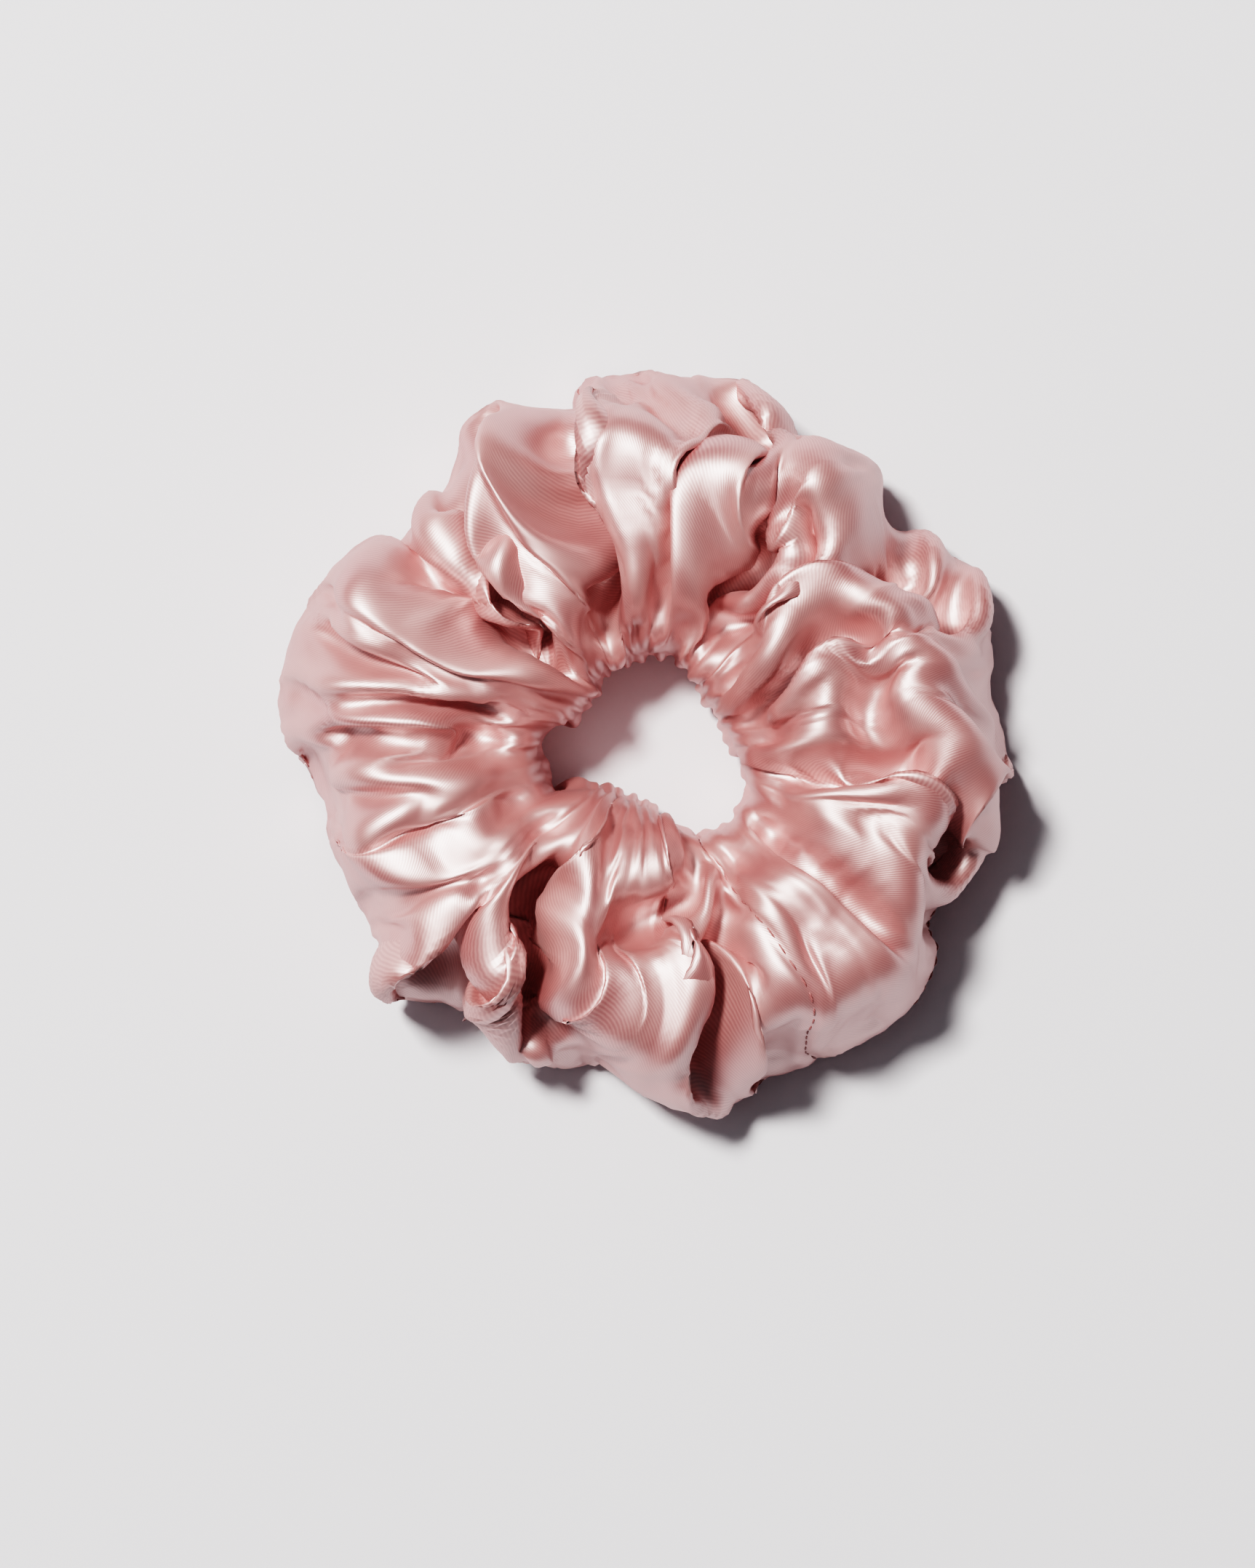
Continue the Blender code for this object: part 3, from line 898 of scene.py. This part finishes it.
def elastic_mesh(elastic):
    """The strip with its woven ribs running round the ring."""
    total = 360 + ELASTIC_LAP_DEGREES
    turned = np.linspace(0, total, ELASTIC_STEPS)
    radius = elastic["radius"] + elastic_lift(turned)
    angle = np.radians(ELASTIC_START_DEGREES + turned)
    share = np.linspace(0, 1, RIB_STEPS)
    rib = np.abs(np.sin(pi * ELASTIC_RIBS * share))
    half = ELASTIC_THICKNESS / 2 * (1 - RIB_DEPTH_SHARE + RIB_DEPTH_SHARE * rib)
    height = elastic["bottom"] + (elastic["top"] - elastic["bottom"]) * share
    section = np.concatenate([np.stack([half, height], 1), np.stack([-half, height], 1)[::-1]])
    around = len(section)
    vertices = np.empty((ELASTIC_STEPS, around, 3))
    vertices[..., 0] = (radius[:, None] + section[:, 0]) * np.cos(angle)[:, None]
    vertices[..., 1] = (radius[:, None] + section[:, 0]) * np.sin(angle)[:, None]
    vertices[..., 2] = section[:, 1]
    faces = []
    for i in range(ELASTIC_STEPS - 1):
        for j in range(around):
            after = (j + 1) % around
            low, high = i * around, (i + 1) * around
            faces.append((low + j, high + j, high + after, low + after))
    last = (ELASTIC_STEPS - 1) * around
    faces.append(tuple(range(around)))
    faces.append(tuple(last + j for j in range(around))[::-1])
    return smooth_mesh("elastic", vertices.reshape(-1, 3).tolist(), faces)


def zigzag_mesh(elastic):
    """The zigzag over the lap, on the outer face of the strip's outer layer."""
    count = ZIGZAG_TURNS * ZIGZAG_POINTS_PER_TURN + 1
    share = np.linspace(0, 1, count)
    spread = ELASTIC_LAP_DEGREES * ZIGZAG_LENGTH_SHARE
    angle = np.radians(ELASTIC_START_DEGREES + (ELASTIC_LAP_DEGREES - spread) / 2 + spread * share)
    wave = 2 * np.abs(2 * ((share * ZIGZAG_TURNS) % 1) - 1) - 1
    middle = (elastic["low"] + elastic["high"]) / 2
    height = middle + wave * ZIGZAG_REACH_SHARE * (elastic["top"] - elastic["bottom"])
    radius = elastic["radius"] + ELASTIC_THICKNESS * 1.5 + LAP_GAP + THREAD_RADIUS
    points = np.stack([radius * np.cos(angle), radius * np.sin(angle), height], 1)
    up = np.stack([np.cos(angle), np.sin(angle), 0 * angle], 1)
    return thread_mesh("elastic_join", [thread_tube(points, up)])


def shader(name):
    """A new material with its nodes, links and Principled shader."""
    made = bpy.data.materials.new(name)
    made.use_nodes = True
    nodes, links = made.node_tree.nodes, made.node_tree.links
    return made, nodes, links, nodes["Principled BSDF"]


def add_node(nodes, kind, **inputs):
    """A node of this kind, with the named inputs set."""
    node = nodes.new(kind)
    for name, value in inputs.items():
        node.inputs[name].default_value = value
    return node


def add_bump(nodes, links, principled, height, strength, distance):
    """Raises the surface by this height, up to a distance in metres."""
    bump = add_node(nodes, "ShaderNodeBump", Strength=strength, Distance=distance)
    links.new(height, bump.inputs["Height"])
    links.new(bump.outputs["Normal"], principled.inputs["Normal"])


# The satin's two shades, how strongly the twill moves between them, how many twill lines there are,
# and its roughness where the mottling is lowest and highest.
SATIN_LIGHT = (0.74, 0.345, 0.325, 1)
SATIN_DEEP = (0.42, 0.095, 0.10, 1)
TWILL_IN_COLOUR = 0.45
TWILL_SCALE = 1.3
SATIN_ROUGHNESS = (0.44, 0.54)
THREAD_SHADES = ((0.26, 0.085, 0.085, 1), (0.40, 0.16, 0.155, 1))
ELASTIC_SHADES = ((0.66, 0.61, 0.57, 1), (0.88, 0.85, 0.82, 1))
CARD_COLOUR = (0.75, 0.75, 0.79, 1)
FLOOR_HALF_WIDTH = 3.0


def mix_shades(nodes, links, principled, shades):
    """A mix of two shades as the base colour. Returns the socket that moves from one to the other."""
    colour = nodes.new("ShaderNodeMix")
    colour.data_type = "RGBA"
    colour.inputs["A"].default_value, colour.inputs["B"].default_value = shades
    links.new(colour.outputs["Result"], principled.inputs["Base Color"])
    return colour.inputs["Factor"]


def add_math(nodes, links, operation, first, second):
    """A maths node on a socket and a number."""
    node = nodes.new("ShaderNodeMath")
    node.operation = operation
    node.inputs[1].default_value = second
    links.new(first, node.inputs[0])
    return node


def satin_material():
    """Satin: a fine diagonal twill on the panel's own scale, sheen along the strip, faint mottling."""
    made, nodes, links, principled = shader("satin")
    principled.inputs["Metallic"].default_value = 0.25
    principled.inputs["IOR"].default_value = 2.7
    principled.inputs["Specular IOR Level"].default_value = 1.0
    principled.inputs["Anisotropic"].default_value = 0.4
    uv = nodes.new("ShaderNodeUVMap")
    uv.uv_map = "panel"
    in_mm = add_node(nodes, "ShaderNodeMapping", Scale=(PANEL_LENGTH / MM, PANEL_WIDTH / MM, 1))
    links.new(uv.outputs["UV"], in_mm.inputs["Vector"])

    mottle = add_node(nodes, "ShaderNodeTexNoise", Scale=0.09, Detail=3.0)
    links.new(in_mm.outputs["Vector"], mottle.inputs["Vector"])
    gloss = nodes.new("ShaderNodeMapRange")
    gloss.inputs["To Min"].default_value, gloss.inputs["To Max"].default_value = SATIN_ROUGHNESS
    links.new(mottle.outputs["Fac"], gloss.inputs["Value"])
    links.new(gloss.outputs["Result"], principled.inputs["Roughness"])

    twill = add_node(nodes, "ShaderNodeTexWave", Scale=TWILL_SCALE, Distortion=0.4, Detail=1.0)
    twill.bands_direction = "DIAGONAL"
    links.new(in_mm.outputs["Vector"], twill.inputs["Vector"])
    shade = add_math(nodes, links, "MULTIPLY_ADD", twill.outputs["Fac"], TWILL_IN_COLOUR)
    links.new(mottle.outputs["Fac"], shade.inputs[2])
    centred = add_math(nodes, links, "SUBTRACT", shade.outputs["Value"], TWILL_IN_COLOUR / 2)
    factor = mix_shades(nodes, links, principled, (SATIN_DEEP, SATIN_LIGHT))
    links.new(centred.outputs["Value"], factor)
    add_bump(nodes, links, principled, twill.outputs["Fac"], 0.25, 0.00003)
    tangent = nodes.new("ShaderNodeTangent")
    tangent.direction_type = "UV_MAP"
    tangent.uv_map = "panel"
    links.new(tangent.outputs["Tangent"], principled.inputs["Tangent"])
    return made


def thread_material():
    """Polyester thread: a shade deeper than the satin, with its twist as fine bands."""
    made, nodes, links, principled = shader("satin_thread")
    principled.inputs["Roughness"].default_value = 0.5
    place = nodes.new("ShaderNodeTexCoord")
    twist = add_node(nodes, "ShaderNodeTexWave", Scale=900.0)
    twist.bands_direction = "DIAGONAL"
    links.new(place.outputs["Object"], twist.inputs["Vector"])
    links.new(twist.outputs["Fac"], mix_shades(nodes, links, principled, THREAD_SHADES))
    add_bump(nodes, links, principled, twist.outputs["Fac"], 0.4, 0.00005)
    return made


def elastic_material():
    """Braided elastic: off-white yarn in slanting rows."""
    made, nodes, links, principled = shader("elastic")
    principled.inputs["Roughness"].default_value = 0.85
    place = nodes.new("ShaderNodeTexCoord")
    yarn = add_node(nodes, "ShaderNodeTexWave", Scale=260.0, Distortion=1.0)
    yarn.bands_direction = "DIAGONAL"
    links.new(place.outputs["Object"], yarn.inputs["Vector"])
    links.new(yarn.outputs["Fac"], mix_shades(nodes, links, principled, ELASTIC_SHADES))
    add_bump(nodes, links, principled, yarn.outputs["Fac"], 0.5, 0.0001)
    return made


def floor_material():
    """Matt card, with a grain too fine to read as a pattern."""
    made, nodes, links, principled = shader("card")
    principled.inputs["Base Color"].default_value = CARD_COLOUR
    principled.inputs["Roughness"].default_value = 0.9
    place = nodes.new("ShaderNodeTexCoord")
    grain = add_node(nodes, "ShaderNodeTexNoise", Scale=900.0, Detail=2.0)
    links.new(place.outputs["Object"], grain.inputs["Vector"])
    add_bump(nodes, links, principled, grain.outputs["Fac"], 0.1, 0.0001)
    return made


def add_object(name, data, material):
    """A linked object with one material."""
    obj = bpy.data.objects.new(name, data)
    bpy.context.scene.collection.objects.link(obj)
    data.materials.append(material)
    return obj


def add_floor():
    """The surface that the scrunchie lies on, far wider than the view."""
    mesh = bpy.data.meshes.new("floor")
    half = FLOOR_HALF_WIDTH
    corners = [(-half, -half, 0), (half, -half, 0), (half, half, 0), (-half, half, 0)]
    mesh.from_pydata(corners, [], [(0, 1, 2, 3)])
    add_object("floor", mesh, floor_material())


# The camera: how much of the surface its long side takes in, the place it looks straight down at,
# its lens and its exposure.
VIEW_HEIGHT_MM = 243.0
VIEW_MIDDLE_MM = (-2.9, -6.3)
FOCUS_HEIGHT_MM = 12.0
LENS = 100.0
SENSOR = 36.0
EXPOSURE = 0.43


def add_camera():
    """Straight above, as far off as it takes for the view to be VIEW_HEIGHT_MM high."""
    data = bpy.data.cameras.new("camera")
    data.lens = LENS
    data.sensor_width = SENSOR
    data.clip_start = 0.01
    camera = bpy.data.objects.new("camera", data)
    bpy.context.scene.collection.objects.link(camera)
    away = VIEW_HEIGHT_MM * LENS / SENSOR
    camera.location = Vector((*VIEW_MIDDLE_MM, FOCUS_HEIGHT_MM + away)) * MM
    bpy.context.scene.camera = camera


def add_light(name, azimuth, elevation, distance, size, power, colour):
    """A square light aimed at the ring. Azimuth is anticlockwise from +X, in degrees."""
    data = bpy.data.lights.new(name, "AREA")
    data.size = size
    data.energy = power
    data.color = colour
    light = bpy.data.objects.new(name, data)
    bpy.context.scene.collection.objects.link(light)
    a, e = radians(azimuth), radians(elevation)
    direction = Vector((cos(a) * cos(e), sin(a) * cos(e), sin(e)))
    light.location = direction * distance
    light.rotation_mode = "QUATERNION"
    light.rotation_quaternion = direction.to_track_quat("Z", "Y")


def add_lights():
    """A hard key from the upper left, a broad weak fill beside it and a little light all round."""
    add_light("key", 136, 65, 1.6, 0.24, 23.5, (1.0, 0.97, 0.925))
    add_light("fill", 150, 65, 1.4, 1.2, 1.6, (0.97, 0.98, 1.0))
    world = bpy.data.worlds.new("studio")
    world.use_nodes = True
    background = world.node_tree.nodes["Background"]
    background.inputs["Color"].default_value = (0.93, 0.94, 1.0, 1)
    background.inputs["Strength"].default_value = 0.05
    bpy.context.scene.world = world


def add_piece(name, mesh, material, slot, *nodes):
    """A piece that stands for these CAD nodes, which are hidden."""
    obj = add_object(name, mesh, material)
    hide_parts(*nodes)
    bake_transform(obj)
    return obj


def add_cover(x):
    """The satin, as one sheet in place of both CAD halves."""
    mesh = grid_mesh("cover", x)
    cover = add_piece("cover", mesh, satin_material(), "satin", "cover_left", "cover_right")
    wall = cover.modifiers.new("fabric", "SOLIDIFY")
    wall.thickness = FABRIC_THICKNESS
    wall.offset = -1


def add_stitches(x):
    """The thread of the long seam, of the cross seam and of the closed gap."""
    thread = thread_material()
    first, last = (column_at(degrees) for degrees in CLOSING_DEGREES)
    cross = column_at(CROSS_SEAM_DEGREES)
    seams = [
        ("long_seam", "long_seam_thread", along_row(x, 0), SEAM_STITCH),
        ("cross_seam", "cross_seam_thread", along_column(x, cross), SEAM_STITCH),
        ("closing_seam", "closing_seam_thread", along_row(x, CLOSING_ROW, first, last), TOP_STITCH),
    ]
    for name, node, line, size in seams:
        tubes = stitches(*line, size)
        add_piece(name, thread_mesh(name, tubes), thread, "satin_thread", node)
    return thread


def elastic_place():
    """The elastic's middle radius, its heights from its CAD box, and its section's rounded core."""
    low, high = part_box("elastic_band")
    core = ELASTIC_CLEARANCE * 0.6
    return {
        "radius": ELASTIC_RADIUS_MM * MM,
        "bottom": low.z,
        "top": high.z,
        "low": low.z + core,
        "high": high.z - core,
    }


def set_tones():
    """A tone curve that rolls the highlights off to cream."""
    view = bpy.context.scene.view_settings
    view.view_transform = "Filmic"
    view.look = "Very High Contrast"
    view.exposure = EXPOSURE


def main():
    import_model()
    set_tones()
    add_camera()
    add_lights()
    add_floor()
    elastic = elastic_place()
    cloth = make_cloth(elastic)
    add_cover(cloth)
    thread = add_stitches(cloth)
    add_piece("elastic", elastic_mesh(elastic), elastic_material(), "elastic", "elastic_band")
    add_piece("elastic_join", zigzag_mesh(elastic), thread, "satin_thread", "elastic_join_thread")


main()
